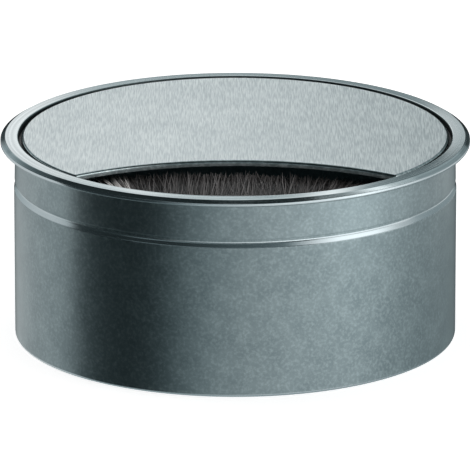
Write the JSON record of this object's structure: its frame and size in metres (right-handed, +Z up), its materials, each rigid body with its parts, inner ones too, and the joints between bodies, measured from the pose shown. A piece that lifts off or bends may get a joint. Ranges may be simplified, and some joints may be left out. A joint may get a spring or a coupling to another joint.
{
  "type": "desk cable grommet",
  "caption": "Round sheet-metal desk cable grommet: flanged sleeve for a desk hole, brushed cover plate with a lens-shaped cable opening, closed by a strip brush.",
  "frame": {"origin": "centre of the foot rim, on the surface that the sleeve stands on", "axes": "+Z up along the sleeve's axis, towards the flange; -Y towards the cable opening"},
  "size_m": [0.0848, 0.0848, 0.037],
  "materials": {
    "sleeve_steel": "galvanised sheet, mottled, burnished at the hem and the step",
    "cover_steel": "brushed front to back",
    "carrier_plastic": "black, fine moulded grain",
    "channel_steel": "galvanised strip",
    "bristle_nylon": "dark brown-black filament"
  },
  "bodies": {
    "root": {"sleeve": "sleeve_steel", "cover_plate": "cover_steel", "carrier_ring": "carrier_plastic", "brush_channel": "channel_steel", "brush_core_wire": "channel_steel", "brush_bristles": "bristle_nylon"}
  },
  "joints": []
}
